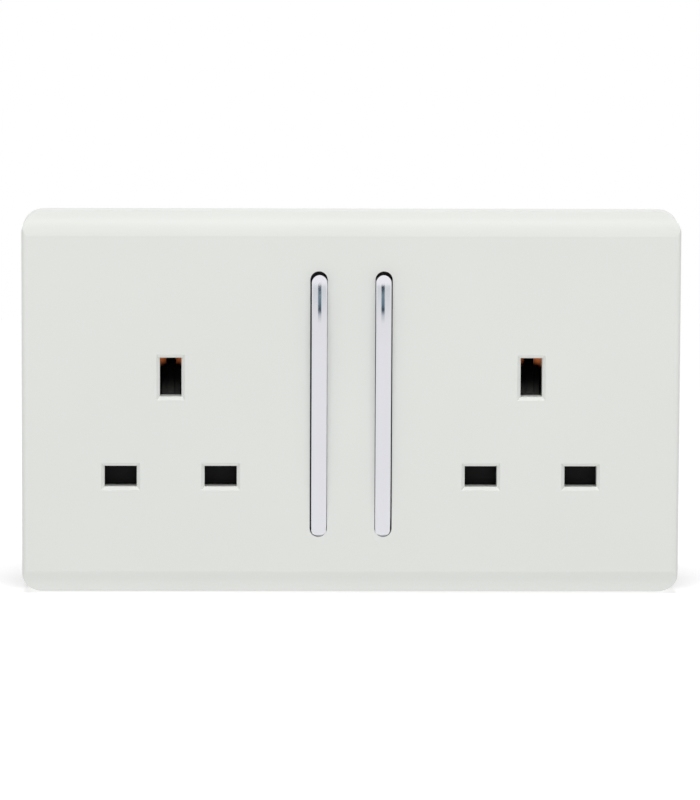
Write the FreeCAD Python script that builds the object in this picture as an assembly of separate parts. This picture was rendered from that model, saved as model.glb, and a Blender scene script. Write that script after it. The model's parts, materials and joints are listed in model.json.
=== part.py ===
import FreeCAD, Part
import math
import os

# Twin switched socket outlet with a clip-on white plate, chrome rocker bars and shuttered pin slots.
# Millimetres. +X is right as seen from the front, +Y goes into the wall and +Z is up.
# The origin is the middle of the plate on the surface of the wall.

# Front plate
fixing_pitch = 120.6
fixing_hole = 4.3
side_margin = 12.7
plate_height = 85.4
plate_depth = 9.5
plate_wall = 2.2
plate_corner = 4.8
side_round = 1.2
band_height = 5.2
band_drop = 4.4
band_start = 10.0

# Pin slots and the plug that they take
socket_offset = 40.0
pin_pitch = 22.2
line_row = -16.2
flat_slot_width = 7.15
flat_slot_height = 4.65
earth_slot_width = 4.8
earth_slot_height = 8.7
slot_bevel = 0.75
bevel_depth = 1.4
slot_depth = 4.3
collar_wall = 1.2
flat_pin = 4.0
earth_pin = 4.0
pin_length = 17.7

# Rocker switches
switch_offset = 7.2
switch_row = 0.0
window_width = 4.0
window_length = 59.6
bar_side_gap = 0.25
bar_end_gap = 0.42
bar_proud = 2.2
bar_flat = 12.5
bar_curve = 117.0
bar_end_round = 1.5
bar_edge = 0.35
bar_seat = 3.5
rocker_tilt = 2.0
web_width = 3.0
web_reach = 24.0
web_edge = 1.2
skirt_width = 4.7
skirt_over = 0.15
skirt_thick = 0.8
hub_radius = 2.0
hub_width = 5.2
trunnion_radius = 1.3
trunnion_length = 2.0
pivot_setback = 2.2
barrel_radius = 2.1
plunger_radius = 1.2
plunger_length = 4.0
plunger_bare = 1.6
plunger_gap = 0.1
tip_gap = 0.35

# Inner frame and rear housing
frame_wall = 1.6
core_wall = 1.6
back_wall = 1.8
core_margin = 3.9
core_corner = 1.5
aperture_gap = 0.6
panel_recess = 0.5
panel_margin = 5.0
floor_room = 2.1
rear_room = 4.2
flange_room = 2.8
flange_thick = 2.2
flange_corner = 3.0
notch_half = 6.5
lug_room = 5.8
clip_offset = 35.0
clip_width = 10.0
clip_thick = 1.4
clip_height = 5.4
hook_reach = 1.2
hook_thick = 1.1
catch_thick = 1.0
catch_clear = 0.4
post_thick = 3.0
post_half = 4.0
post_reach = 2.8
screw_offset = 15.0
boss_half = 2.3
boss_reach = 6.0
screw_radius = 1.2
screw_depth = 5.0
screw_head = 1.9
screw_head_height = 1.6
rest_half = 1.5
lip_thick = 0.8
lip_lap = 0.6
rail_wall = 1.4

# Shutters and their springs
shutter_thick = 1.5
shutter_lap = 0.475
shutter_travel = 5.8
blade_margin = 0.9
stem_half = 2.1
ramp_height = 5.6
rib_half = 0.85
rib_rise = 0.35
heel_drop = 9.0
coil_radius = 1.4
coil_wire = 0.2
coil_turns = 6
coil_steps = 8
plunger_coil_radius = 0.8
plunger_coil_turns = 3

# Brass work
strip = 0.8
strip_width = 5.0
leg_width = 3.0
clip_leaf_width = 6.0
clip_base_room = 0.5
clip_grip = 0.15
earth_grip = 1.0
clip_flare = 0.7
clip_mouth = 2.0
mouth_setback = 2.2
layer_gap = 1.8
pin_tip_room = 1.8
cross_rise = 5.5
riser_gap = 8.8
strip_gap = 1.0
neck_half = 3.0
ear_half = 1.8
ear_reach = 1.0
arm_half = 2.0
arm_reach = 9.6
arm_tilt = 5.0
arm_pin = 0.6
contact_radius = 1.6
contact_reach = 8.0
moving_thick = 0.5
fixed_thick = 0.4
contact_gap = 0.2
earth_bridge = 2.7
earth_bar_over = 4.0
earth_rest_offset = 30.0

# Terminals
terminal_offset = 22.0
block_half = 4.0
block_length = 8.5
block_room = 1.9
block_gap = 1.2
wire_hole = 4.2
wire_depth = 7.0
entry_width = 6.0
clamp_radius = 1.6
clamp_head = 2.3
clamp_head_height = 1.8
clamp_clear = 0.2
clamp_window = 0.3

# Clearances shared by the pieces
slide_gap = 0.2
side_gap = 0.3
running_gap = 0.05
over = 1.0

# Places worked out from the sizes above, front to back
y_front = -plate_depth
y_collar = y_front + slot_depth
y_frame = y_collar + slide_gap
y_frame_in = y_frame + frame_wall
y_shutter = y_frame_in + slide_gap
y_shutter_back = y_shutter + shutter_thick
y_ramp_back = y_shutter + ramp_height
y_pivot = y_frame_in + pivot_setback
y_mouth = y_shutter_back + mouth_setback
y_neutral = y_front + pin_length + pin_tip_room
y_line = y_neutral + strip + layer_gap
y_earth = y_line + strip + layer_gap
y_back_in = y_earth + strip + rear_room
y_back = y_back_in + back_wall
y_block = y_back_in - slide_gap

# Places worked out from the sizes above, across and up
plate_width = fixing_pitch + 2 * side_margin
flange_half_w = plate_width / 2 - plate_wall - flange_room
flange_half_h = plate_height / 2 - plate_wall - flange_room
earth_row = line_row + pin_pitch
ramp_low = earth_row - earth_slot_height / 2
earth_strip_row = ramp_low + ramp_height + rib_rise + strip_width / 2
blade_end = pin_pitch / 2 + flat_slot_width / 2 + blade_margin
shutter_low = line_row - flat_slot_height / 2 - shutter_lap
core_in_h = shutter_travel - shutter_low + floor_room
core_half_h = core_in_h + core_wall
core_half_w = socket_offset + pin_pitch / 2 + flat_slot_width / 2 + core_margin
notch_x = fixing_pitch / 2 - lug_room
boss_row = core_in_h - boss_half - slide_gap
neutral_top = boss_row - boss_half - strip_gap
block_out = core_in_h - block_room
block_in = block_out - block_length
cross_row = line_row + cross_rise
riser_offset = switch_offset + riser_gap
contact_row = switch_row + contact_reach
tilt_rise = contact_reach * math.sin(math.radians(arm_tilt))
arm_y = y_line - strip / 2 - tilt_rise - moving_thick - fixed_thick - contact_gap
tip_y = arm_y - strip / 2 - tip_gap
post_inner = hub_width / 2 + side_gap
bore_y = y_neutral + strip + block_gap + wire_hole / 2 + strip
signs = (-1, 1)
sides = (("left", -1), ("right", 1))

# The band along the plate's top and bottom is one arc that starts at a crease in the face
band_chord = math.hypot(band_height, band_drop)
band_lean = math.atan2(band_drop, band_height)
band_sweep = 2 * (band_lean - math.radians(band_start))
band_radius = band_chord / (2 * math.sin(band_sweep / 2))
band_y = y_front + band_radius * math.cos(math.radians(band_start))
band_z = plate_height / 2 - band_height - band_radius * math.sin(math.radians(band_start))

pin_slots = []
for side in signs:
    centre = side * socket_offset
    pin_slots.append((centre - pin_pitch / 2, line_row, flat_slot_width, flat_slot_height))
    pin_slots.append((centre + pin_pitch / 2, line_row, flat_slot_width, flat_slot_height))
    pin_slots.append((centre, earth_row, earth_slot_width, earth_slot_height))

Vec = FreeCAD.Vector


def slab(xa, xb, ya, yb, za, zb):
    corner = Vec(min(xa, xb), min(ya, yb), min(za, zb))
    return Part.makeBox(abs(xb - xa), abs(yb - ya), abs(zb - za), corner)


def block(x, z, width, height, ya, yb):
    return slab(x - width / 2, x + width / 2, ya, yb, z - height / 2, z + height / 2)


def rod_x(radius, xa, xb, y, z):
    return Part.makeCylinder(radius, xb - xa, Vec(xa, y, z), Vec(1, 0, 0))


def rod_y(radius, x, z, ya, yb):
    return Part.makeCylinder(radius, yb - ya, Vec(x, ya, z), Vec(0, 1, 0))


def rod_z(radius, x, y, za, zb):
    return Part.makeCylinder(radius, zb - za, Vec(x, y, za), Vec(0, 0, 1))


def prism(points, sweep):
    return Part.Face(Part.makePolygon(points + points[:1])).extrude(sweep)


def pill(x, z, width, length, ya, yb):
    straight = (length - width) / 2
    ends = [rod_y(width / 2, x, z + end * straight, ya, yb) for end in signs]
    return join(block(x, z, width, 2 * straight, ya, yb), *ends)


def join(first, *others):
    return first.fuse(list(others)).removeSplitter()


def edges_along(solid, axis):
    return [edge for edge in solid.Edges
            if len(edge.Vertexes) == 2
            and abs(edge.tangentAt(edge.FirstParameter).dot(axis)) > 0.999
            and edge.Curve.TypeId == "Part::GeomLine"]


def tilted(shape, angle, y):
    turned = shape.copy()
    turned.rotate(Vec(0, y, switch_row), Vec(1, 0, 0), angle)
    return turned


def coil(radius, length, turns):
    steps = turns * coil_steps
    sections = []
    for step in range(steps + 1):
        angle = 2 * math.pi * step / coil_steps
        outward = Vec(math.cos(angle), math.sin(angle), 0)
        middle = outward * radius + Vec(0, 0, length * step / steps)
        sections.append([middle + outward * (a * coil_wire) + Vec(0, 0, b * coil_wire)
                         for a, b in ((-1, -1), (1, -1), (1, 1), (-1, 1))])
    loops = [sections[0], sections[-1]]
    for low, high in zip(sections, sections[1:]):
        for near, far in ((0, 1), (1, 2), (2, 3), (3, 0)):
            loops.append([low[near], low[far], high[far]])
            loops.append([low[near], high[far], high[near]])
    faces = [Part.Face(Part.makePolygon(loop + loop[:1])) for loop in loops]
    return Part.makeSolid(Part.makeShell(faces))


# Front plate

def plate_form(inset, back):
    half_w = plate_width / 2 - inset
    half_h = plate_height / 2 - inset
    front = y_front + inset
    radius = band_radius - inset
    crease = band_z + math.sqrt(radius ** 2 - (band_y - front) ** 2)
    edge_y = band_y - math.sqrt(radius ** 2 - (half_h - band_z) ** 2)
    first = math.atan2(crease - band_z, band_y - front)
    last = math.atan2(half_h - band_z, band_y - edge_y)
    middle = (first + last) / 2
    arc_y = band_y - radius * math.cos(middle)
    arc_z = band_z + radius * math.sin(middle)
    top = Part.Arc(Vec(0, front, crease), Vec(0, arc_y, arc_z), Vec(0, edge_y, half_h))
    bottom = Part.Arc(Vec(0, edge_y, -half_h), Vec(0, arc_y, -arc_z), Vec(0, front, -crease))
    corners = [Vec(0, edge_y, half_h), Vec(0, back, half_h), Vec(0, back, -half_h), Vec(0, edge_y, -half_h)]
    edges = [Part.LineSegment(Vec(0, front, -crease), Vec(0, front, crease)).toShape(), top.toShape()]
    edges += [Part.LineSegment(start, end).toShape() for start, end in zip(corners, corners[1:])]
    edges.append(bottom.toShape())
    profile = Part.Face(Part.Wire(edges)).extrude(Vec(2 * half_w, 0, 0))
    profile.translate(Vec(-half_w, 0, 0))
    outline = slab(-half_w, half_w, front, back, -half_h, half_h)
    outline = outline.makeFillet(plate_corner - inset, edges_along(outline, Vec(0, 1, 0)))
    return profile.common(outline)


def side_rounding():
    half_w = plate_width / 2
    form = slab(-half_w, half_w, y_front, over, -plate_height, plate_height)
    front_edges = [edge for edge in edges_along(form, Vec(0, 0, 1)) if edge.CenterOfMass.y < y_front / 2]
    return form.makeFillet(side_round, front_edges)


def slot_cut(x, z, width, height):
    low = Vec(x - width / 2, y_front, z - height / 2)
    high = Vec(x + width / 2, y_front + bevel_depth, z + height / 2)
    bevel = Part.makeWedge(low.x - slot_bevel, low.y, low.z - slot_bevel, low.z, low.x,
                           high.x + slot_bevel, high.y, high.z + slot_bevel, high.z, high.x)
    return join(bevel, block(x, z, width, height, high.y, y_collar + over))


def plate_catches():
    catches = []
    for across in signs:
        for up in signs:
            x = across * clip_offset
            y = -clip_height + hook_thick + slide_gap
            inner = up * (flange_half_h + catch_clear)
            outer = up * (plate_height / 2 - plate_wall / 2)
            catches.append(slab(x - clip_width / 2, x + clip_width / 2, y, y + catch_thick, inner, outer))
    return catches


def front_plate():
    shell = plate_form(0, 0).common(side_rounding()).cut(plate_form(plate_wall, over))
    collars = [block(x, z, width + 2 * collar_wall, height + 2 * collar_wall,
                     y_front + plate_wall / 2, y_collar) for x, z, width, height in pin_slots]
    shell = join(shell, *collars, *plate_catches())
    cuts = [slot_cut(*slot) for slot in pin_slots]
    cuts += [pill(side * switch_offset, switch_row, window_width, window_length, y_front - over, y_collar)
             for side in signs]
    return shell.cut(cuts).removeSplitter()


# Inner frame

def core_prism(inset, ya, yb):
    w = core_half_w - inset
    h = core_half_h - inset
    n = notch_half + inset
    x = notch_x - inset
    right = [(w, -h), (w, -n), (x, -n), (x, n), (w, n), (w, h)]
    outline = right + [(-px, -pz) for px, pz in right]
    return prism([Vec(px, ya, pz) for px, pz in outline], Vec(0, yb - ya, 0))


def frame_flange():
    flange = slab(-flange_half_w, flange_half_w, -flange_thick, 0, -flange_half_h, flange_half_h)
    return flange.makeFillet(flange_corner, edges_along(flange, Vec(0, 1, 0)))


def plate_clip(across, up):
    x = across * clip_offset
    root = up * (flange_half_h - clip_thick)
    edge = up * flange_half_h
    tab = slab(x - clip_width / 2, x + clip_width / 2, -clip_height, 0, root, edge)
    hook = slab(x - clip_width / 2, x + clip_width / 2, -clip_height, -clip_height + hook_thick,
                edge, edge + up * hook_reach)
    return join(tab, hook)


def bearing_posts():
    inner = switch_offset - post_inner
    outer = switch_offset + post_inner
    spans = [(-inner, inner), (-outer - post_thick, -outer), (outer, outer + post_thick)]
    return [slab(xa, xb, y_frame_in - frame_wall / 2, y_pivot + post_reach,
                 switch_row - post_half, switch_row + post_half) for xa, xb in spans]


def shutter_guides(centre):
    front = y_frame_in - frame_wall / 2
    lip_y = y_shutter_back + slide_gap
    back = lip_y + lip_thick
    blade_top = line_row + flat_slot_height / 2
    guides = []
    for side in signs:
        wall = centre + side * (blade_end + side_gap)
        outer = wall + side * rail_wall
        lip = wall - side * (lip_lap + side_gap)
        guides.append(slab(wall, outer, front, back, -core_in_h, blade_top))
        guides.append(slab(lip, outer, lip_y, back, -core_in_h, blade_top))
        wall = centre + side * (stem_half + side_gap)
        outer = wall + side * rail_wall
        guides.append(slab(wall, outer, front, back, line_row + flat_slot_height, ramp_low))
    return guides


def screw_places():
    return [(across * screw_offset, up * boss_row) for across in signs for up in signs]


def inner_frame():
    frame = join(frame_flange(), core_prism(0, y_frame, 0))
    frame = frame.cut(core_prism(core_wall, y_frame_in, over))
    added = [plate_clip(across, up) for across in signs for up in signs]
    added += bearing_posts()
    added += shutter_guides(-socket_offset) + shutter_guides(socket_offset)
    added += [block(x, z, 2 * boss_half, 2 * boss_half, y_frame_in - frame_wall / 2, boss_reach)
              for x, z in screw_places()]
    frame = join(frame, *added)
    post_end = switch_offset + post_inner + post_thick + over
    notch = trunnion_radius + running_gap
    cuts = [slab(-post_end, post_end, y_pivot - notch, y_pivot + post_reach + over,
                 switch_row - notch, switch_row + notch)]
    cuts += [block(x, z, width + 2 * aperture_gap, height + 2 * aperture_gap, y_frame - over, y_frame_in)
             for x, z, width, height in pin_slots]
    cuts += [pill(side * switch_offset, switch_row, hub_width, window_length + hub_width - window_width,
                  y_frame - over, y_frame_in) for side in signs]
    cuts += [rod_y(fixing_hole / 2, side * fixing_pitch / 2, 0, -flange_thick - over, over)
             for side in signs]
    cuts += [rod_y(screw_radius + running_gap, x, z, boss_reach - screw_depth - over, boss_reach + over)
             for x, z in screw_places()]
    return frame.cut(cuts).removeSplitter()


# Rear housing

def strip_rests():
    first = -socket_offset - pin_pitch / 2
    second = -socket_offset + pin_pitch / 2
    third = socket_offset - pin_pitch / 2
    fourth = socket_offset + pin_pitch / 2
    rests = [(first, line_row, y_neutral), (third, line_row, y_neutral)]
    rests += [(second, line_row, y_line), (fourth, line_row, y_line)]
    rests.append((0, (switch_row - block_in) / 2, y_line))
    rests += [(side * riser_offset, switch_row, y_line) for side in signs]
    rests += [(side * earth_rest_offset, earth_strip_row, y_earth) for side in signs]
    root = y_back_in + back_wall / 2
    return [block(x, z, 2 * rest_half, 2 * rest_half, y + strip, root) for x, z, y in rests]


def terminal_places():
    return (("line", 0, -1), ("neutral", -terminal_offset, 1), ("earth", terminal_offset, 1))


def clamp_row(up):
    return up * (block_out - wire_depth / 2)


def back_panels():
    inner = terminal_offset + block_half + panel_margin
    outer = notch_x - panel_margin
    half_h = core_in_h - panel_margin
    return [slab(side * inner, side * outer, y_back - panel_recess, y_back + over, -half_h, half_h)
            for side in signs]


def rear_housing():
    tub = core_prism(0, 0, y_back)
    tub = tub.makeFillet(core_corner, edges_along(tub, Vec(0, 1, 0)))
    tub = tub.cut(core_prism(core_wall, -over, y_back_in))
    added = strip_rests()
    added += [block(x, z, 2 * boss_half, 2 * boss_half, boss_reach, y_back_in + back_wall / 2)
              for x, z in screw_places()]
    tub = join(tub, *added)
    cuts = back_panels()
    for x, z in screw_places():
        cuts.append(rod_y(screw_radius + running_gap, x, z, boss_reach - over, y_back + over))
        cuts.append(rod_y(screw_head + running_gap, x, z, y_back - screw_head_height, y_back + over))
    for name, x, up in terminal_places():
        window = 2 * (clamp_head + clamp_window)
        cuts.append(block(x, clamp_row(up), window, window, y_back_in - over, y_back + over))
        cuts.append(block(x, up * core_half_h, entry_width, 2 * core_wall + over,
                          bore_y - entry_width / 2, bore_y + entry_width / 2))
    return tub.cut(cuts).removeSplitter()


def housing_screws():
    screws = []
    for x, z in screw_places():
        shank = rod_y(screw_radius, x, z, boss_reach - screw_depth, y_back - screw_head_height)
        head = rod_y(screw_head, x, z, y_back - screw_head_height, y_back)
        screws.append(join(shank, head))
    return Part.makeCompound(screws)


# Brass work

def pin_clip(pin, grip, base, mouth, bridge_height):
    half = clip_leaf_width / 2
    throat = mouth + clip_mouth
    bend = [(pin / 2 + clip_base_room, base), (pin / 2 - grip, throat), (pin / 2 + clip_flare, mouth)]
    outline = bend + [(u + strip, y) for u, y in reversed(bend)]
    leaf = prism([Vec(u, y, -half) for u, y in outline], Vec(0, 0, clip_leaf_width))
    reach = pin / 2 + clip_base_room + strip
    bridge = slab(-reach, reach, base, base + strip, half - bridge_height, half)
    return join(leaf, leaf.mirror(Vec(), Vec(1, 0, 0)), bridge)


def flat_pin_clip(x, base):
    clip = pin_clip(flat_pin, clip_grip, base, y_mouth, clip_leaf_width)
    clip.rotate(Vec(), Vec(0, 1, 0), 90)
    clip.translate(Vec(x, 0, line_row))
    return clip


def neutral_bar():
    first = -socket_offset - pin_pitch / 2
    third = socket_offset - pin_pitch / 2
    edge = min(notch_x - core_wall - side_gap, leg_width / 2 - first)
    back = y_neutral + strip
    cross = slab(-edge, third + leg_width / 2, y_neutral, back, neutral_top - strip_width, neutral_top)
    first_leg = slab(-edge, -edge + leg_width, y_neutral, back, line_row, neutral_top)
    foot = slab(first, -edge + leg_width, y_neutral, back,
                line_row - leg_width / 2, line_row + leg_width / 2)
    third_leg = slab(third - leg_width / 2, third + leg_width / 2, y_neutral, back, line_row, neutral_top)
    clips = [flat_pin_clip(x, y_neutral) for x in (first, third)]
    return join(cross, first_leg, foot, third_leg, *clips)


def line_contact(side):
    half = strip_width / 2
    clip_x = side * socket_offset + pin_pitch / 2
    riser = side * riser_offset
    back = y_line + strip
    leg = slab(clip_x - half, clip_x + half, y_line, back, line_row, cross_row + half)
    outer = clip_x + side * half
    cross = slab(outer, riser - side * half, y_line, back, cross_row - half, cross_row + half)
    rise = slab(riser - half, riser + half, y_line, back, cross_row - half, contact_row + half)
    landing = slab(riser, side * (switch_offset - half), y_line, back,
                   contact_row - half, contact_row + half)
    return join(leg, cross, rise, landing, flat_pin_clip(clip_x, y_line))


def line_bar():
    ear_inner = arm_half + side_gap
    ear_outer = ear_inner + strip
    half_w = switch_offset + ear_outer
    back = y_line + strip
    carrier = slab(-half_w, half_w, y_line, back, switch_row - ear_half, switch_row + ear_half)
    neck = slab(-neck_half, neck_half, y_line, back, -block_in, switch_row)
    ears = []
    for side in signs:
        for edge in signs:
            x = side * switch_offset
            ears.append(slab(x + edge * ear_inner, x + edge * ear_outer, arm_y - ear_reach, back,
                             switch_row - ear_half, switch_row + ear_half))
    notch = arm_pin + running_gap
    cradle = slab(-half_w - over, half_w + over, arm_y - ear_reach - over, arm_y + notch,
                  switch_row - notch, switch_row + notch)
    return join(carrier, neck, *ears).cut(cradle)


def earth_bar():
    half = strip_width / 2
    back = y_earth + strip
    reach = socket_offset + earth_bar_over
    cross = slab(-reach, reach, y_earth, back, earth_strip_row - half, earth_strip_row + half)
    tab = slab(terminal_offset - half, terminal_offset + half, y_earth, back, earth_strip_row, block_in)
    return join(cross, tab)


def earth_contact(side):
    contact = pin_clip(earth_pin, earth_grip, y_earth - strip, y_ramp_back + slide_gap, earth_bridge)
    row = earth_row + (earth_slot_height - clip_leaf_width) / 2
    contact.translate(Vec(side * socket_offset, 0, row))
    return contact


def fixed_contact(side):
    return rod_y(contact_radius, side * switch_offset, contact_row, y_line - fixed_thick, y_line)


def contact_arm(side):
    x = side * switch_offset
    blade = block(x, switch_row, 2 * arm_half, 2 * arm_reach, arm_y - strip / 2, arm_y + strip / 2)
    pin_reach = arm_half + side_gap + strip
    pin = rod_x(arm_pin, x - pin_reach, x + pin_reach, arm_y, switch_row)
    return tilted(join(blade, pin), -arm_tilt, arm_y)


def moving_contact(side):
    seat = arm_y + strip / 2
    button = rod_y(contact_radius, side * switch_offset, contact_row, seat, seat + moving_thick)
    return tilted(button, -arm_tilt, arm_y)


# Terminals

def terminal(x, up, front):
    body = slab(x - block_half, x + block_half, front, y_block, up * block_in, up * block_out)
    ends = sorted((up * (block_out - wire_depth), up * (block_out + over)))
    hole = rod_z(wire_hole / 2, x, bore_y, ends[0], ends[1])
    return body.cut([hole, rod_y(clamp_radius + running_gap, x, clamp_row(up), bore_y, y_block + over)])


def terminal_screws():
    screws = []
    for name, x, up in terminal_places():
        tip = bore_y + wire_hole / 2 + clamp_clear
        shank = rod_y(clamp_radius, x, clamp_row(up), tip, y_block)
        head = rod_y(clamp_head, x, clamp_row(up), y_block, y_block + clamp_head_height)
        screws.append(join(shank, head))
    return Part.makeCompound(screws)


# Rocker switches, made upright and then tilted to the on position

def bar_profile():
    half = window_length / 2 - bar_end_gap
    front = y_front - bar_proud
    back = y_front + bar_seat
    turn = math.asin((half - bar_flat) / bar_curve)
    bend = [Vec(0, front + bar_curve * (1 - math.cos(angle)), bar_flat + bar_curve * math.sin(angle))
            for angle in (0, turn / 2, turn)]
    upper = [Part.Arc(*bend).toShape(), Part.LineSegment(bend[-1], Vec(0, back, half)).toShape()]
    edges = [Part.LineSegment(Vec(0, front, -bar_flat), Vec(0, front, bar_flat)).toShape()]
    edges.append(Part.LineSegment(Vec(0, back, -half), Vec(0, back, half)).toShape())
    edges += upper + [edge.mirror(Vec(), Vec(0, 0, 1)) for edge in upper]
    return Part.Face(Part.Wire(Part.__sortEdges__(edges)))


def rocker_bar(side):
    width = window_width - 2 * bar_side_gap
    solid = bar_profile().extrude(Vec(width, 0, 0))
    end_edges = [edge for edge in edges_along(solid, Vec(1, 0, 0))
                 if abs(edge.CenterOfMass.z) > bar_flat + bar_end_round and edge.CenterOfMass.y < y_front]
    solid = solid.makeFillet(bar_end_round, end_edges)
    seat = y_front + bar_seat - web_edge
    side_edges = [edge for edge in solid.Edges
                  if edge.BoundBox.XLength < bar_edge and edge.CenterOfMass.y < seat]
    solid = solid.makeChamfer(bar_edge, side_edges)
    solid.translate(Vec(side * switch_offset - width / 2, 0, switch_row))
    outline = pill(side * switch_offset, switch_row, width, window_length - 2 * bar_end_gap,
                   y_front - plate_depth, y_pivot)
    return tilted(solid.common(outline), rocker_tilt, y_pivot)


def rocker_dolly(side):
    x = side * switch_offset
    back = y_front + bar_seat
    end_y = tip_y - plunger_bare
    bore_start = y_pivot + hub_radius
    points = [(back, -web_reach), (back, web_reach), (back + web_edge, web_reach),
              (y_pivot + hub_radius, hub_radius), (y_pivot + hub_radius, -hub_radius),
              (back + web_edge, -web_reach)]
    web = prism([Vec(x - web_width / 2, y, switch_row + z) for y, z in points], Vec(web_width, 0, 0))
    skirt = pill(x, switch_row, skirt_width, window_length + 2 * skirt_over, back, back + skirt_thick)
    hub = slab(x - hub_width / 2, x + hub_width / 2, y_pivot - hub_radius, y_pivot + hub_radius,
               switch_row - hub_radius, switch_row + hub_radius)
    reach = hub_width / 2 + trunnion_length
    pins = rod_x(trunnion_radius, x - reach, x + reach, y_pivot, switch_row)
    barrel = rod_y(barrel_radius, x, switch_row, y_pivot, end_y)
    bore = rod_y(plunger_radius + plunger_gap, x, switch_row, bore_start, end_y + over)
    return tilted(join(web, skirt, hub, pins, barrel).cut(bore), rocker_tilt, y_pivot)


def plunger(side):
    x = side * switch_offset
    nose = tip_y - plunger_radius
    shank = rod_y(plunger_radius, x, switch_row, tip_y - plunger_length, nose)
    taper = Part.makeCone(plunger_radius, plunger_radius / 2, plunger_radius,
                          Vec(x, nose, switch_row), Vec(0, 1, 0))
    return tilted(join(shank, taper), rocker_tilt, y_pivot)


def plunger_spring(side):
    start = y_pivot + hub_radius + coil_wire
    length = tip_y - plunger_length - coil_wire - start
    spring = coil(plunger_coil_radius, length, plunger_coil_turns)
    spring.rotate(Vec(), Vec(1, 0, 0), -90)
    spring.translate(Vec(side * switch_offset, start, switch_row))
    return tilted(spring, rocker_tilt, y_pivot)


# Shutters

def shutter(side):
    x = side * socket_offset
    blade_top = line_row + flat_slot_height / 2 + shutter_lap
    heel_low = line_row + heel_drop
    ramp_top = ramp_low + ramp_height
    blade = slab(x - blade_end, x + blade_end, y_shutter, y_shutter_back, shutter_low, blade_top)
    stem = slab(x - stem_half, x + stem_half, y_shutter, y_shutter_back, line_row, ramp_low)
    slope = [(y_shutter, heel_low), (y_shutter, ramp_low), (y_ramp_back, ramp_top), (y_ramp_back, heel_low)]
    ramp = prism([Vec(x - stem_half, y, z) for y, z in slope], Vec(2 * stem_half, 0, 0))
    ridge = [(y_shutter, ramp_low), (y_shutter, ramp_low + rib_rise), (y_ramp_back, ramp_top + rib_rise),
             (y_ramp_back, ramp_top)]
    rib = prism([Vec(x - rib_half, y, z) for y, z in ridge], Vec(2 * rib_half, 0, 0))
    return join(blade, stem, ramp, rib)


def shutter_spring(side):
    low = -core_in_h + coil_wire
    length = line_row + heel_drop - coil_wire - low
    spring = coil(coil_radius, length, coil_turns)
    spring.translate(Vec(side * socket_offset, y_ramp_back - coil_radius - coil_wire, low))
    return spring


def all_nodes():
    nodes = {
        "front_plate": front_plate(),
        "inner_frame": inner_frame(),
        "rear_housing": rear_housing(),
        "housing_screws": housing_screws(),
        "neutral_bar": neutral_bar(),
        "line_bar": line_bar(),
        "earth_bar": earth_bar(),
        "terminal_screws": terminal_screws(),
    }
    fronts = {"line": y_line, "neutral": y_neutral + strip, "earth": y_line}
    for name, x, up in terminal_places():
        nodes[name + "_terminal"] = terminal(x, up, fronts[name])
    makers = (line_contact, earth_contact, fixed_contact, contact_arm, moving_contact, rocker_bar,
              rocker_dolly, plunger, plunger_spring, shutter, shutter_spring)
    for name, side in sides:
        for maker in makers:
            nodes[name + "_" + maker.__name__] = maker(side)
    return nodes


os.makedirs("parts", exist_ok=True)
for node, shape in all_nodes().items():
    shape.exportStep("parts/" + node + ".step")
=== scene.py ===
import json
import math
import bpy
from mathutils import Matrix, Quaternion, Vector


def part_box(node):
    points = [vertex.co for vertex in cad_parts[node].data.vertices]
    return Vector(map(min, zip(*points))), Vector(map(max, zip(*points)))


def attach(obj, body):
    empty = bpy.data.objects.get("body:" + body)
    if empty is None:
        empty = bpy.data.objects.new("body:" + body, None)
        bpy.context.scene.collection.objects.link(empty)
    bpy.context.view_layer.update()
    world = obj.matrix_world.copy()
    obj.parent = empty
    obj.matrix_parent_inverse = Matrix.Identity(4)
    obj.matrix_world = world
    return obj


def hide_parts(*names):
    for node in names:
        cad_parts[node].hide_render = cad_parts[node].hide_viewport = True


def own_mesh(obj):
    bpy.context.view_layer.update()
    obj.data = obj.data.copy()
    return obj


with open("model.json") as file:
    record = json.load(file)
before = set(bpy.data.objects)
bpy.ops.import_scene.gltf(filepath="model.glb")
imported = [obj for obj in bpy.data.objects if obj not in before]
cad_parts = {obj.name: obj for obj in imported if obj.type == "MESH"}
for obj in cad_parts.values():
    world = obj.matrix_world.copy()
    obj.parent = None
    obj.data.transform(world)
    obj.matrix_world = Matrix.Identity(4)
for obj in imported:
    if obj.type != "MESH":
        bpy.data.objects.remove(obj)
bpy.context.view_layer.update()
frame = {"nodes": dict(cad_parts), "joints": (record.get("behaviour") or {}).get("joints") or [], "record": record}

# Sizes in metres, in the frame of the CAD nodes: +X right, +Y into the wall, +Z up
MM = 0.001
QUARTER_TURN = math.pi / 2

# How far a cutter reaches past its cut, and what keeps the cutter of the bars' outline off their flanks
OVER = 1.0 * MM
SLIVER = 0.002 * MM
# How close to its place a picked edge or point lies, and how squarely a picked face looks forward
NEAR = 0.08 * MM
POINT_NEAR = 0.008 * MM
FACING = 0.9
# Points closer than this become one, and the rounds at a pill's ends stay this share of its width
MERGE = 0.001 * MM
ALMOST_HALF = 0.4999

# Eased edges, by finish where a piece keeps the form of its solid
EASE = 0.08 * MM
METAL_EASE = EASE / 2
PIECE_EASE = {"dark_moulding": 0.2 * MM, "rocker_moulding": 0.12 * MM, "black_shutter": 0.15 * MM}
EASE_ANGLE = math.radians(25)
CREASE_ANGLE = math.radians(8)
FLAT_ANGLE = math.radians(1)

# How many faces or points each rounded form has
EASE_STEPS = 2
CORNER_STEPS = 16
BAND_STEPS = 24
SIDE_STEPS = 14
CROWN_POINTS = 512
BAR_EDGE_STEPS = 6
BAR_CURVE_STEPS = 24
BAR_END_STEPS = 10
HEAD_POINTS = 48
HEAD_STEPS = 4
WIRE_POINTS = 10
COIL_STEPS = 28

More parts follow.
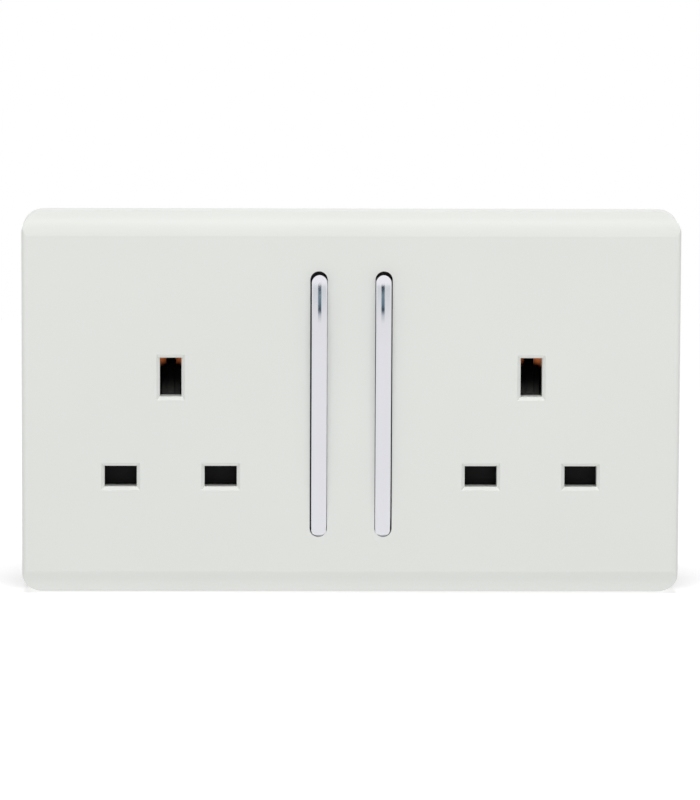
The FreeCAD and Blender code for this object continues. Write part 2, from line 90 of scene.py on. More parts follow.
# Front plate
PLATE_WALL = 2.2 * MM
PLATE_CORNER = 4.8 * MM
SIDE_ROUND = 1.2 * MM
BAND_HEIGHT = 5.2 * MM
BAND_DROP = 4.4 * MM
BAND_START = math.radians(10)
SLOT_BEVEL = 0.75 * MM
BEVEL_DEPTH = 0.75 * MM
SLOT_DEPTH = 4.3 * MM
COLLAR_WALL = 1.2 * MM
FLAT_SLOT = (7.15 * MM, 4.65 * MM)
EARTH_SLOT = (4.8 * MM, 8.7 * MM)
SOCKET_OFFSET = 40.0 * MM
PIN_PITCH = 22.2 * MM
LINE_ROW = -16.2 * MM
WINDOW_WIDTH = 3.84 * MM
WINDOW_LENGTH = 59.44 * MM
SWITCH_OFFSET = 7.2 * MM
CATCH_OFFSET = 35.0 * MM
CATCH_WIDTH = 10.0 * MM
CATCH_FRONT = -4.1 * MM
CATCH_THICK = 1.0 * MM
CATCH_REACH = 3.5 * MM

# Rocker bars
BAR_WIDTH = 3.42 * MM
BAR_HALF = 29.38 * MM
BAR_PROUD = 2.2 * MM
BAR_FLAT = 12.5 * MM
BAR_CURVE = 117.0 * MM
BAR_END_ROUND = 1.5 * MM
BAR_END = 1.0 * MM
BAR_SEAT = 3.5 * MM
BAR_CROWN = 12.0 * MM
BAR_EDGE = 0.35 * MM
BAR_TILT = math.radians(2)
BAR_INWARD = 0.1 * MM

# Screws and springs
HOUSING_HEAD = 3.8 * MM
HOUSING_HEAD_HEIGHT = 1.6 * MM
HOUSING_SHANK = 2.4 * MM
CLAMP_HEAD = 4.6 * MM
CLAMP_HEAD_HEIGHT = 1.8 * MM
CLAMP_SHANK = 3.2 * MM
HEAD_EASE = 0.25 * MM
DRIVER_WIDTH = 0.6 * MM
DRIVER_DEPTH = 0.9 * MM
DRIVER_LENGTH = 2.6 * MM
WIRE_RADIUS = 0.2 * MM
SHUTTER_TURNS = 6

# Finishes: detail of the mottle and the grain, spread of the roughness and strength of the grain
MOTTLE_DETAIL = 3.0
GRAIN_DETAIL = 2.0
NOISE_MIDDLE = 0.5
MOULD_SPREAD = 0.08
MOULD_GRAIN = 0.5
METAL_SPREAD = 0.1
METAL_GRAIN = 0.4
# Heights over which the painted shade on the bronze contacts fades out: below them the contacts are painted dark,
# where the slots shade them
PAINTED_SHADE_LOW = 6.6 * MM
PAINTED_SHADE_HIGH = 7.6 * MM
PAINTED_SHADE_COLOUR = (0.05, 0.022, 0.012)
# Heights between which light is painted on the foot of each shutter's ramp, lightest low in the earth slots where
# light falls in from above
PAINTED_LIGHT_HIGH = 5.0 * MM
PAINTED_LIGHT_LOW = 0.5 * MM
PAINTED_LIGHT_END = -5.0 * MM
PAINTED_LIGHT_COLOUR = (0.1, 0.1, 0.095)

# Camera
CAMERA_TARGET = Vector((-0.23 * MM, -8.6 * MM, 0.9 * MM))
CAMERA_DISTANCE = 1390 * MM
CAMERA_ELEVATION = math.radians(7.8)
CAMERA_AZIMUTH = math.radians(-1.15)
CAMERA_ROLL = math.radians(0.235)
CAMERA_LENS = 281.9

# White background, shown at its own brightness
WHITE = (1.0, 1.0, 1.0)
SHOWN_LIGHT = 1.0

# Floor, which fades into white away from the part
FLOOR_SIZE = 8.0
FLOOR_NEAR = 0.12
FLOOR_FAR = 0.5
SHADOW_LIFT = 0.45
FLOOR_TONE = (0.92, 0.92, 0.92)
FLOOR_SHOWN_TONE = (1.32, 1.32, 1.32)
MIRRORED_TONE = (0.9, 0.9, 0.9)

# World, whose light from below stands for light off the floor
WORLD_LIGHT = 0.47
BOUNCED_LIGHT = 1.1
HORIZON = 0.0
BELOW_HORIZON = -0.15
BACKGROUND_RAYS = ("Is Camera Ray", "Is Glossy Ray", "Is Transmission Ray")

# Glowing card that only bright metal mirrors, a painted reflection on the chrome bars: its tones from bottom to
# top, in its core and at its flanks
CARD_PLACE = (0.0045, -0.6, 0.0175)
CARD_WIDTH = 0.42
CARD_HEIGHT = 0.095
CARD_CORE = 0.036
CARD_BLUR = 0.15
REFLECTION_CORE_TONES = [(0.0, (0.88, 0.88, 0.88)), (0.2, (0.6, 0.63, 0.66)), (0.33, (0.02, 0.04, 0.06)),
              (0.48, (0.14, 0.21, 0.25)), (0.75, (0.2, 0.28, 0.32)), (0.93, (0.02, 0.04, 0.06))]
REFLECTION_FLANK_TONES = [(0.0, (0.9, 0.9, 0.9)), (0.9, (0.74, 0.77, 0.77))]

# Place, size and power of each light
LIGHTS = {
    "top light": (Vector((0, -0.5, 1.4)), 0.6, 12.0),
    "left light": (Vector((-0.6, -1.5, 0.25)), 0.6, 1.7),
    "right light": (Vector((0.6, -1.5, 0.25)), 0.6, 1.7),
}

REMODELLED = ("front_plate", "left_rocker_bar", "right_rocker_bar", "housing_screws", "terminal_screws",
              "left_shutter_spring", "right_shutter_spring")
SIDES = {"left": -1, "right": 1}
plate_low, plate_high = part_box("front_plate")
plate_front = plate_low.y
collar_end = plate_front + SLOT_DEPTH
pivot_y = next(joint["pos_m"][1] for joint in frame["joints"] if joint["name"] == "left_switch")


class Shade:
    """A socket of a node tree. Arithmetic on it adds Math nodes."""

    def __init__(self, tree, socket=None):
        self.tree = tree
        self.socket = socket

    def add(self, kind, inputs=None, out=0, stops=None, **settings):
        node = self.tree.nodes.new(kind)
        for name, value in settings.items():
            setattr(node, name, value)
        if stops:
            ramp = node.color_ramp.elements
            while len(ramp) < len(stops):
                ramp.new(1.0)
            for element, (place, colour) in zip(ramp, stops):
                element.position = place
                element.color = (*colour, 1.0)
        for key, value in (inputs or {}).items():
            if isinstance(value, Shade):
                self.tree.links.new(value.socket, node.inputs[key])
            else:
                node.inputs[key].default_value = value
        return Shade(self.tree, node.outputs[out] if node.outputs else None)

    def maths(self, operation, *values):
        return self.add("ShaderNodeMath", dict(enumerate(values)), operation=operation)

    def __add__(self, other):
        return self.maths("ADD", self, other)

    def __radd__(self, other):
        return self.maths("ADD", other, self)

    def __sub__(self, other):
        return self.maths("SUBTRACT", self, other)

    def __rsub__(self, other):
        return self.maths("SUBTRACT", other, self)

    def __mul__(self, other):
        return self.maths("MULTIPLY", self, other)

    def __rmul__(self, other):
        return self.maths("MULTIPLY", other, self)

    def eased(self, start, end, least=0.0):
        """Rises softly from least at the start to one at the end."""
        span = {"Value": self, "From Min": start, "From Max": end, "To Min": least}
        return self.add("ShaderNodeMapRange", span, interpolation_type="SMOOTHSTEP")

    def mix(self, first, second):
        """Mixes two colours by this value."""
        node = self.tree.nodes.new("ShaderNodeMix")
        node.data_type = "RGBA"
        self.tree.links.new(self.socket, node.inputs["Factor"])
        colours = {"A": first, "B": second}
        for socket in node.inputs:
            if socket.type == "RGBA" and socket.name in colours:
                colour = colours[socket.name]
                if isinstance(colour, Shade):
                    self.tree.links.new(colour.socket, socket)
                else:
                    socket.default_value = (*colour, 1.0)
        return Shade(self.tree, next(socket for socket in node.outputs if socket.type == "RGBA"))

    def blend(self, first, second):
        """Mixes two surfaces by this value."""
        return self.add("ShaderNodeMixShader", {0: self, 1: first, 2: second})


# Modelling steps

def deselect():
    bpy.ops.object.select_all(action="DESELECT")


def make_active(piece):
    bpy.context.view_layer.objects.active = piece


def select_only(piece):
    deselect()
    piece.select_set(True)
    make_active(piece)


def object_mode():
    bpy.ops.object.mode_set(mode="OBJECT")


def edit_mode(piece):
    make_active(piece)
    bpy.ops.object.mode_set(mode="EDIT")


def edit_all(piece):
    edit_mode(piece)
    bpy.ops.mesh.select_all(action="SELECT")


def apply_place():
    bpy.ops.object.transform_apply(location=True, rotation=True, scale=True)


def placed(name):
    piece = bpy.context.object
    piece.name = name
    apply_place()
    return piece


def copy_of(mesh, name):
    piece = bpy.data.objects.new(name, mesh.copy())
    bpy.context.collection.objects.link(piece)
    return piece


def box_between(name, low, high):
    deselect()
    low, high = Vector(low), Vector(high)
    bpy.ops.mesh.primitive_cube_add(size=1, location=(low + high) / 2)
    bpy.context.object.scale = high - low
    return placed(name)


def upright_plane(name, place, width, height):
    deselect()
    bpy.ops.mesh.primitive_plane_add(size=1, location=place, rotation=(QUARTER_TURN, 0, 0))
    bpy.context.object.scale = (width, height, 1)
    return placed(name)


def start_pick(piece, kind):
    edit_mode(piece)
    bpy.ops.mesh.select_mode(type=kind)
    bpy.ops.mesh.select_all(action="DESELECT")
    object_mode()


def pick_points(piece, test):
    start_pick(piece, "VERT")
    for point in piece.data.vertices:
        point.select = test(point.co)
    edit_mode(piece)


def pick_edges(piece, test):
    start_pick(piece, "EDGE")
    points = piece.data.vertices
    for edge in piece.data.edges:
        edge.select = test(points[edge.vertices[0]].co, points[edge.vertices[1]].co)
    edit_mode(piece)


def pick_front_faces(piece):
    start_pick(piece, "FACE")
    for face in piece.data.polygons:
        face.select = face.normal.y < -FACING
    edit_mode(piece)


def extrude(x=0, y=0, z=0):
    bpy.ops.mesh.extrude_region_move(TRANSFORM_OT_translate={"value": (x, y, z)})


def spin(steps, angle, centre, axis=(1, 0, 0)):
    bpy.ops.mesh.spin(steps=steps, angle=angle, center=centre, axis=axis)


def bevel_picked(width, steps):
    bpy.ops.mesh.bevel(offset=width, segments=steps, affect="EDGES")
    object_mode()


def shift(piece, step):
    edit_all(piece)
    bpy.ops.transform.translate(value=step)
    object_mode()


def face_outwards(piece):
    edit_all(piece)
    bpy.ops.mesh.remove_doubles(threshold=MERGE)
    bpy.ops.mesh.normals_make_consistent(inside=False)
    object_mode()


def apply_modifier(piece, kind, **settings):
    deselect()
    make_active(piece)
    modifier = piece.modifiers.new(kind.lower(), kind)
    for name, value in settings.items():
        setattr(modifier, name, value)
    bpy.ops.object.modifier_apply(modifier=modifier.name)


def combine(piece, tool, operation):
    apply_modifier(piece, "BOOLEAN", operation=operation, solver="EXACT", object=tool)
    bpy.data.objects.remove(tool)


def ease_edges(piece, width=EASE):
    apply_modifier(piece, "BEVEL", width=width, segments=EASE_STEPS, limit_method="ANGLE",
                   angle_limit=EASE_ANGLE)
    edit_all(piece)
    bpy.ops.mesh.remove_doubles(threshold=MERGE)
    bpy.ops.mesh.dissolve_degenerate(threshold=MERGE)
    object_mode()
    select_only(piece)
    bpy.ops.object.shade_smooth_by_angle(angle=CREASE_ANGLE)


def round_corners(piece, radius):
    def along_y(a, b):
        return abs(a.x - b.x) + abs(a.z - b.z) < NEAR
    pick_edges(piece, along_y)
    bevel_picked(radius, CORNER_STEPS)


def pill(name, x, width, length, front, back):
    piece = box_between(name, (x - width / 2, front, -length / 2), (x + width / 2, back, length / 2))
    round_corners(piece, ALMOST_HALF * width)
    return piece


def dress(piece, body, slot, *nodes):
    piece.data.materials.clear()
    piece.data.materials.append(finishes[slot])
    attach(piece, body)
    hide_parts(*nodes)


# Front plate

def plate_form(inset, back):
    """The plate's body without its side rounds or, with an inset, the hollow behind it."""
    half_w = plate_high.x - inset
    half_h = plate_high.z - inset
    front = plate_front + inset
    lean = math.atan2(BAND_DROP, BAND_HEIGHT) - BAND_START
    full_radius = math.hypot(BAND_HEIGHT, BAND_DROP) / (2 * math.sin(lean))
    band_y = plate_front + full_radius * math.cos(BAND_START)
    band_z = plate_high.z - BAND_HEIGHT - full_radius * math.sin(BAND_START)
    radius = full_radius - inset
    crease = band_z + math.sqrt(radius ** 2 - (band_y - front) ** 2)
    edge_y = band_y - math.sqrt(radius ** 2 - (half_h - band_z) ** 2)
    sweep = math.asin((half_h - band_z) / radius) - math.asin((crease - band_z) / radius)
    form = upright_plane("plate_form", (0, front, 0), 2 * half_w, 2 * crease)
    for up in (1, -1):
        def band_edge(a, b):
            return min(up * a.z, up * b.z) > crease - NEAR
        pick_edges(form, band_edge)
        spin(BAND_STEPS, up * sweep, (0, band_y, up * band_z))
        extrude(y=back - edge_y)
        object_mode()

    def back_edge(a, b):
        return min(a.y, b.y) > back - NEAR
    pick_edges(form, back_edge)
    bpy.ops.mesh.edge_face_add()
    bpy.ops.mesh.select_all(action="SELECT")
    bpy.ops.mesh.fill_holes(sides=0)
    object_mode()
    face_outwards(form)
    outline = box_between("outline", (-half_w, front - OVER, -half_h), (half_w, back + OVER, half_h))
    round_corners(outline, PLATE_CORNER - inset)
    combine(form, outline, "INTERSECT")
    return form


def round_sides(plate):
    sides = box_between("sides", (plate_low.x, plate_front, plate_low.z - OVER),
                        (plate_high.x, OVER, plate_high.z + OVER))

    def front_side(a, b):
        return abs(a.x - b.x) < NEAR and max(a.y, b.y) < plate_front + NEAR
    pick_edges(sides, front_side)
    bevel_picked(SIDE_ROUND, SIDE_STEPS)
    combine(plate, sides, "INTERSECT")


def slot_places():
    for side in SIDES.values():
        centre = side * SOCKET_OFFSET
        yield centre - PIN_PITCH / 2, LINE_ROW, FLAT_SLOT
        yield centre + PIN_PITCH / 2, LINE_ROW, FLAT_SLOT
        yield centre, LINE_ROW + PIN_PITCH, EARTH_SLOT


def add_collar(plate, x, z, size):
    width, height = size
    low = (x - width / 2 - COLLAR_WALL, plate_front + PLATE_WALL / 2, z - height / 2 - COLLAR_WALL)
    high = (x + width / 2 + COLLAR_WALL, collar_end, z + height / 2 + COLLAR_WALL)
    combine(plate, box_between("collar", low, high), "UNION")


def add_catch(plate, across, up):
    x = across * CATCH_OFFSET
    tip = up * (plate_high.z - CATCH_REACH - PLATE_WALL / 2)
    root = up * (plate_high.z - PLATE_WALL / 2)
    low = (x - CATCH_WIDTH / 2, CATCH_FRONT, min(tip, root))
    high = (x + CATCH_WIDTH / 2, CATCH_FRONT + CATCH_THICK, max(tip, root))
    combine(plate, box_between("catch", low, high), "UNION")


def cut_slot(plate, x, z, size):
    width, height = size
    tool = box_between("slot", (x - width / 2, plate_front + BEVEL_DEPTH, z - height / 2),
                       (x + width / 2, collar_end + OVER, z + height / 2))
    pick_front_faces(tool)
    extrude(y=-BEVEL_DEPTH)
    widened = ((width + 2 * SLOT_BEVEL) / width, 1, (height + 2 * SLOT_BEVEL) / height)
    bpy.ops.transform.resize(value=widened, center_override=(x, plate_front, z))
    extrude(y=-OVER)
    object_mode()
    combine(plate, tool, "DIFFERENCE")


def make_plate():
    plate = plate_form(0, 0)
    plate.name = "plate"
    round_sides(plate)
    combine(plate, plate_form(PLATE_WALL, OVER), "DIFFERENCE")
    for place in slot_places():
        add_collar(plate, *place)
    for up in (-1, 1):
        for across in (-1, 1):
            add_catch(plate, across, up)
    for place in slot_places():
        cut_slot(plate, *place)
    for side in SIDES.values():
        window = pill("window", side * SWITCH_OFFSET, WINDOW_WIDTH, WINDOW_LENGTH,
                      plate_front - OVER, collar_end)
        combine(plate, window, "DIFFERENCE")
    ease_edges(plate)
    dress(plate, "base", "white_plate", "front_plate")


# Rocker bars

def bar_section():
    """The line across the bar's crowned front and its two edges, at the lower end of its flat."""
    crown_y = plate_front - BAR_PROUD + BAR_CROWN
    edge_x = BAR_WIDTH / 2 - BAR_EDGE
    edge_turn = math.asin(edge_x / (BAR_CROWN - BAR_EDGE))
    edge_y = crown_y - (BAR_CROWN - BAR_EDGE) * math.cos(edge_turn)
    crown_end = BAR_CROWN * math.sin(edge_turn)
    deselect()
    bpy.ops.mesh.primitive_circle_add(vertices=CROWN_POINTS, radius=BAR_CROWN,
                                      location=(0, crown_y, -BAR_FLAT))
    section = placed("bar")
    cuts = [((crown_end, 0, 0), (1, 0, 0)), ((-crown_end, 0, 0), (-1, 0, 0)), ((0, crown_y, 0), (0, 1, 0))]
    for place, normal in cuts:
        edit_all(section)
        bpy.ops.mesh.bisect(plane_co=place, plane_no=normal, clear_outer=True)
        object_mode()
    for across in (1, -1):
        def crown_edge(place):
            return across * place.x > crown_end - POINT_NEAR
        pick_points(section, crown_edge)
        spin(BAR_EDGE_STEPS, across * (edge_turn - QUARTER_TURN), (across * edge_x, edge_y, -BAR_FLAT),
             axis=(0, 0, 1))
        object_mode()
    return section


def bar_blank():
    """An upright bar on the middle of the part: its flat, its two swept ends and its seat."""
    front = plate_front - BAR_PROUD
    turn = math.asin((BAR_HALF - BAR_END - BAR_FLAT) / BAR_CURVE)
    end_turn = math.asin(math.sin(turn) + BAR_END / BAR_END_ROUND) - turn
    end_y = front + BAR_CURVE - (BAR_CURVE - BAR_END_ROUND) * math.cos(turn)
    end_z = BAR_FLAT + (BAR_CURVE - BAR_END_ROUND) * math.sin(turn)
    blank = bar_section()
    edit_all(blank)
    extrude(z=2 * BAR_FLAT)
    object_mode()
    for up in (1, -1):
        def end_edge(a, b):
            return min(up * a.z, up * b.z) > BAR_FLAT - NEAR
        pick_edges(blank, end_edge)
        spin(BAR_CURVE_STEPS, up * turn, (0, front + BAR_CURVE, up * BAR_FLAT))
        spin(BAR_END_STEPS, up * end_turn, (0, end_y, up * end_z))
        object_mode()
    edit_all(blank)
    bpy.ops.mesh.region_to_loop()
    extrude()
    bpy.ops.transform.resize(value=(1, 0, 1), center_override=(0, plate_front + BAR_SEAT, 0))
    bpy.ops.mesh.edge_face_add()
    object_mode()
    face_outwards(blank)
    outline = pill("outline", 0, BAR_WIDTH + 2 * SLIVER, 2 * BAR_HALF,
                   plate_front - 2 * BAR_PROUD, plate_front + 2 * BAR_SEAT)
    combine(blank, outline, "INTERSECT")
    ease_edges(blank)
    return blank


def make_bars():
    for name, side in SIDES.items():
        bar = bar_blank()
        bar.name = name + "_bar"
        edit_all(bar)
        bpy.ops.transform.rotate(value=-BAR_TILT, orient_axis="X", center_override=(0, pivot_y, 0))
        object_mode()
        shift(bar, (side * (SWITCH_OFFSET - BAR_INWARD), 0, 0))
        dress(bar, name + "_rocker", "chrome_bar", name + "_rocker_bar")


# Screws

def turned_screw(name, head, head_height, shank, length, drivers):
    """A screw with its head's face at the origin, and driver slots by their half sizes."""
    deselect()
    bpy.ops.mesh.primitive_cylinder_add(vertices=HEAD_POINTS, radius=head, depth=head_height,
                                        location=(0, -head_height / 2, 0), rotation=(QUARTER_TURN, 0, 0))
    screw = placed(name)

    def rim(a, b):
        return min(a.y, b.y) > -NEAR and abs(a.length - b.length) < NEAR
    pick_edges(screw, rim)
    bevel_picked(HEAD_EASE, HEAD_STEPS)
    pick_front_faces(screw)
    bpy.ops.mesh.inset(thickness=head - shank)
    extrude(y=head_height - length)
    object_mode()
    for across, up in drivers:
        driver = box_between("driver", (-across, -DRIVER_DEPTH, -up), (across, OVER, up))
        combine(screw, driver, "DIFFERENCE")
    ease_edges(screw, METAL_EASE)
    return screw


def screw_group(name, node, screw, places):
    copies = []
    for place in places:
        copy = copy_of(screw.data, name)
        copy.location = place
        copies.append(copy)
    bpy.data.objects.remove(screw)
    deselect()
    for copy in copies:
        copy.select_set(True)
    make_active(copies[0])
    apply_place()
    bpy.ops.object.join()
    dress(copies[0], "base", "screw_steel", node)


def make_screws():
    low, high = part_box("housing_screws")
    head = HOUSING_HEAD / 2
    cross = [(DRIVER_LENGTH / 2, DRIVER_WIDTH / 2), (DRIVER_WIDTH / 2, DRIVER_LENGTH / 2)]
    screw = turned_screw("housing_screw", head, HOUSING_HEAD_HEIGHT, HOUSING_SHANK / 2,
                         high.y - low.y, cross)
    places = [(x, high.y, z) for x in (low.x + head, high.x - head) for z in (low.z + head, high.z - head)]
    screw_group("housing_screw_set", "housing_screws", screw, places)
    low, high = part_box("terminal_screws")
    head = CLAMP_HEAD / 2
    straight = [((2 * head + OVER) / 2, DRIVER_WIDTH / 2)]
    screw = turned_screw("clamp_screw", head, CLAMP_HEAD_HEIGHT, CLAMP_SHANK / 2,
                         high.y - low.y, straight)
    places = [(0, high.y, low.z + head), (low.x + head, high.y, high.z - head),
              (high.x - head, high.y, high.z - head)]
    screw_group("clamp_screw_set", "terminal_screws", screw, places)


# Springs

def wound_spring(name, radius, length):
    deselect()
    bpy.ops.mesh.primitive_circle_add(vertices=WIRE_POINTS, radius=WIRE_RADIUS, location=(radius, 0, 0),
                                      rotation=(QUARTER_TURN, 0, 0))
    spring = placed(name)
    apply_modifier(spring, "SCREW", axis="Z", screw_offset=length / SHUTTER_TURNS, iterations=SHUTTER_TURNS,
                   steps=COIL_STEPS, render_steps=COIL_STEPS)
    edit_all(spring)
    bpy.ops.mesh.fill_holes(sides=0)
    object_mode()
    face_outwards(spring)
    select_only(spring)
    bpy.ops.object.shade_smooth()
    return spring


def make_springs():
    for name in SIDES:
        low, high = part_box(name + "_shutter_spring")
        middle = (low + high) / 2
        spring = wound_spring(name + "_return_spring", (high.x - low.x) / 2 - WIRE_RADIUS,
                              high.z - low.z - 2 * WIRE_RADIUS)
        shift(spring, (middle.x, middle.y, low.z + WIRE_RADIUS))
        dress(spring, "base", "spring_steel", name + "_shutter_spring")
        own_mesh(spring)


# Pieces that keep the form of their solid, with moulded or pressed edges

def eased_copy(node, body, slot):
    piece = copy_of(frame["nodes"][node].data, node + "_piece")
    face_outwards(piece)
    edit_all(piece)
    bpy.ops.mesh.dissolve_limited(angle_limit=FLAT_ANGLE)
    object_mode()
    ease_edges(piece, PIECE_EASE.get(slot, METAL_EASE))
    dress(piece, body, slot, node)


def make_other_pieces():
    slots = {subpart["node"]: subpart["material_slot"] for subpart in frame["record"]["subparts"]}
    for body, nodes in frame["record"]["behaviour"]["bodies"].items():
        for node in nodes:
            if node not in REMODELLED:
                eased_copy(node, body, slots[node])


# Finishes

def new_finish(name):
    material = bpy.data.materials.new(name)
    material.use_nodes = True
    material.node_tree.nodes.clear()
    return material, Shade(material.node_tree)


def object_place(shade):
    return shade.add("ShaderNodeTexCoord", out="Object")


def place_along(shade, axis):
    return shade.add("ShaderNodeSeparateXYZ", {0: object_place(shade)}, out=axis)


def noise(shade, size, detail):
    return shade.add("ShaderNodeTexNoise",
                     {"Vector": object_place(shade), "Scale": 1 / size, "Detail": detail})


# Painted light: each shutter's ramp is lighter towards its foot, as if lit from above through the slot
def painted_light_at_foot(shade, plain):
    z = place_along(shade, "Z")
    painted_light = z.eased(PAINTED_LIGHT_HIGH, PAINTED_LIGHT_LOW) * z.eased(PAINTED_LIGHT_END, PAINTED_LIGHT_LOW)
    return painted_light.mix(plain, PAINTED_LIGHT_COLOUR)


# Painted shade: the bronze contacts are dark below a height, as if shaded inside the slots
def painted_shade_below(shade, lit_colour):
    bright = place_along(shade, "Z").eased(PAINTED_SHADE_LOW, PAINTED_SHADE_HIGH)
    return bright.mix(PAINTED_SHADE_COLOUR, lit_colour)


def grained(name, dark, light, spread, strength, others, mottle, roughness, grain, depth, wear=None):
    """A finish mottled between two colours, with a fine grain and any painted light or shade."""
    material, shade = new_finish(name)
    cloud = noise(shade, mottle, MOTTLE_DETAIL)
    colour = cloud.mix(dark, light)
    if wear:
        colour = wear(shade, colour)
    fine = noise(shade, grain, GRAIN_DETAIL)
    bump = shade.add("ShaderNodeBump", {"Height": fine, "Distance": depth, "Strength": strength})
    surface = shade.add("ShaderNodeBsdfPrincipled",
                        {"Base Color": colour, "Normal": bump,
                         "Roughness": roughness + spread * (cloud - NOISE_MIDDLE), **others})
    shade.add("ShaderNodeOutputMaterial", {"Surface": surface})
    return material


def moulded(name, dark, light, specular=0.5, **look):
    return grained(name, dark, light, MOULD_SPREAD, MOULD_GRAIN, {"Specular IOR Level": specular}, **look)


def metal(name, dark, light, **look):
    return grained(name, dark, light, METAL_SPREAD, METAL_GRAIN, {"Metallic": 1.0}, **look)


finishes = {
    "white_plate": moulded("gloss white", (0.73, 0.745, 0.715), (0.76, 0.775, 0.745),
                           mottle=30 * MM, roughness=0.3, grain=0.8 * MM, depth=0.002 * MM),
    "dark_moulding": moulded("dark moulding", (0.014, 0.014, 0.015), (0.022, 0.022, 0.023), specular=0.35,
                             mottle=9 * MM, roughness=0.5, grain=0.35 * MM, depth=0.02 * MM),
    "rocker_moulding": moulded("rocker moulding", (0.012, 0.012, 0.013), (0.018, 0.018, 0.019), specular=0.3,
                               mottle=6 * MM, roughness=0.45, grain=0.35 * MM, depth=0.02 * MM),
    # The black shutter gets painted light at the foot of its ramp
    "black_shutter": moulded("black shutter", (0.003, 0.0035, 0.003), (0.005, 0.006, 0.005), specular=0.2,
                             mottle=5 * MM, roughness=0.6, grain=0.3 * MM, depth=0.015 * MM, wear=painted_light_at_foot),
    "chrome_bar": metal("bright chrome", (0.79, 0.79, 0.835), (0.81, 0.81, 0.855),
                        mottle=14 * MM, roughness=0.06, grain=1.2 * MM, depth=0.0003 * MM),
    "brass": metal("pressed brass", (0.5, 0.32, 0.1), (0.62, 0.42, 0.15),
                   mottle=5 * MM, roughness=0.3, grain=0.3 * MM, depth=0.004 * MM),
    # The bronze gets painted shade below a height
    "bronze_contact": metal("sprung bronze", (0.92, 0.46, 0.25), (1.0, 0.55, 0.32),
                            mottle=4 * MM, roughness=0.3, grain=0.3 * MM, depth=0.004 * MM, wear=painted_shade_below),
    "screw_steel": metal("zinc plate", (0.42, 0.42, 0.38), (0.55, 0.55, 0.52),
                         mottle=2 * MM, roughness=0.3, grain=0.25 * MM, depth=0.004 * MM),
    "spring_steel": metal("drawn wire", (0.3, 0.3, 0.31), (0.42, 0.42, 0.43),
                          mottle=1.5 * MM, roughness=0.3, grain=0.2 * MM, depth=0.003 * MM),
    "silver_contact": metal("plain silver", (0.68, 0.67, 0.65), (0.8, 0.79, 0.77),
                            mottle=1.5 * MM, roughness=0.25, grain=0.2 * MM, depth=0.003 * MM),
}


# Studio

def background_rays(shade):
    seen = shade.add("ShaderNodeLightPath", out=BACKGROUND_RAYS[0])
    for name in BACKGROUND_RAYS[1:]:
        seen = seen.maths("MAXIMUM", seen, shade.add("ShaderNodeLightPath", out=name))
    return seen


def make_floor():
    deselect()
    bpy.ops.mesh.primitive_plane_add(size=FLOOR_SIZE, location=(0, 0, plate_low.z))
    floor = placed("floor")
    material, shade = new_finish("pale floor")
    shown = shade.add("ShaderNodeLightPath", out="Is Camera Ray")
    lit = shade.add("ShaderNodeBsdfDiffuse", {"Color": shown.mix(FLOOR_TONE, FLOOR_SHOWN_TONE)})
    white = shade.add("ShaderNodeEmission",
                      {"Color": shown.mix(MIRRORED_TONE, WHITE), "Strength": SHOWN_LIGHT})
    reach = shade.add("ShaderNodeVectorMath", {0: object_place(shade)}, out="Value", operation="LENGTH")
    far = reach.eased(FLOOR_NEAR, FLOOR_FAR, SHADOW_LIFT) * background_rays(shade)
    shade.add("ShaderNodeOutputMaterial", {"Surface": far.blend(lit, white)})
    floor.data.materials.append(material)
    floor.visible_diffuse = False


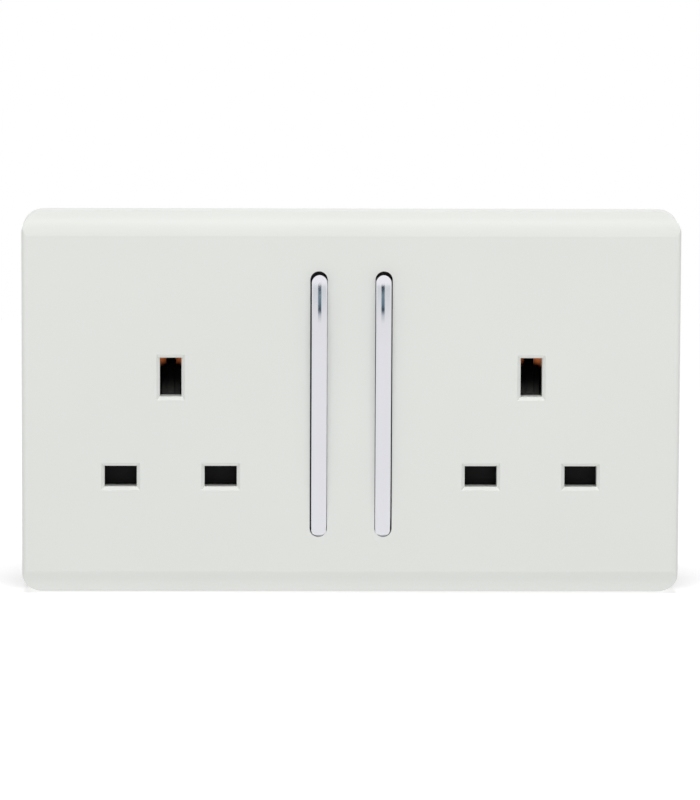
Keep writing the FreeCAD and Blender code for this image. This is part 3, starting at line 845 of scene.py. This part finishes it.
def make_painted_reflection_card():
    """A glowing card seen only in bright metal: a painted reflection standing in for the dark room behind the
    camera.
    """
    card = upright_plane("painted_reflection_card", CARD_PLACE, CARD_WIDTH, CARD_HEIGHT)
    material, shade = new_finish("painted reflection card")
    low = CARD_PLACE[2] - CARD_HEIGHT / 2
    height = (place_along(shade, "Z") - low) * (1 / CARD_HEIGHT)
    core = shade.add("ShaderNodeValToRGB", {0: height}, stops=REFLECTION_CORE_TONES)
    flank = shade.add("ShaderNodeValToRGB", {0: height}, stops=REFLECTION_FLANK_TONES)
    offset = place_along(shade, "X") - CARD_PLACE[0]
    aside = offset.maths("ABSOLUTE", offset)
    edge = aside.eased((1 - CARD_BLUR) * CARD_CORE, (1 + CARD_BLUR) * CARD_CORE)
    glow = shade.add("ShaderNodeEmission", {"Color": edge.mix(core, flank), "Strength": SHOWN_LIGHT})
    shade.add("ShaderNodeOutputMaterial", {"Surface": glow})
    card.data.materials.append(material)
    card.visible_camera = False
    card.visible_diffuse = False
    card.visible_shadow = False


def make_world():
    world = bpy.data.worlds.new("studio")
    bpy.context.scene.world = world
    world.use_nodes = True
    world.node_tree.nodes.clear()
    shade = Shade(world.node_tree)
    around, bounced, shown = [
        shade.add("ShaderNodeBackground", {"Color": (*WHITE, 1.0), "Strength": strength})
        for strength in (WORLD_LIGHT, BOUNCED_LIGHT, SHOWN_LIGHT)]
    direction = shade.add("ShaderNodeTexCoord", out="Generated")
    height = shade.add("ShaderNodeSeparateXYZ", {0: direction}, out="Z")
    lit = height.eased(HORIZON, BELOW_HORIZON).blend(around, bounced)
    shade.add("ShaderNodeOutputWorld", {"Surface": background_rays(shade).blend(lit, shown)})


def make_lights():
    for name, (place, size, power) in LIGHTS.items():
        lamp = bpy.data.lights.new(name, "AREA")
        lamp.energy = power
        lamp.size = size
        light = bpy.data.objects.new(name, lamp)
        light.location = place
        light.rotation_euler = (CAMERA_TARGET - place).to_track_quat("-Z", "Y").to_euler()
        light.visible_glossy = False
        bpy.context.collection.objects.link(light)


def make_camera():
    lens = bpy.data.cameras.new("camera")
    lens.lens = CAMERA_LENS
    camera = bpy.data.objects.new("camera", lens)
    around = Quaternion((0, 0, 1), CAMERA_AZIMUTH)
    away = around @ Vector((0, -math.cos(CAMERA_ELEVATION), math.sin(CAMERA_ELEVATION)))
    camera.location = CAMERA_TARGET + CAMERA_DISTANCE * away
    level = around @ Quaternion((1, 0, 0), QUARTER_TURN - CAMERA_ELEVATION)
    camera.rotation_euler = (level @ Quaternion((0, 0, 1), CAMERA_ROLL)).to_euler()
    bpy.context.collection.objects.link(camera)
    bpy.context.scene.camera = camera


make_plate()
make_bars()
make_screws()
make_springs()
make_other_pieces()
make_floor()
make_painted_reflection_card()
make_world()
make_lights()
make_camera()
bpy.context.scene.view_settings.view_transform = "Standard"
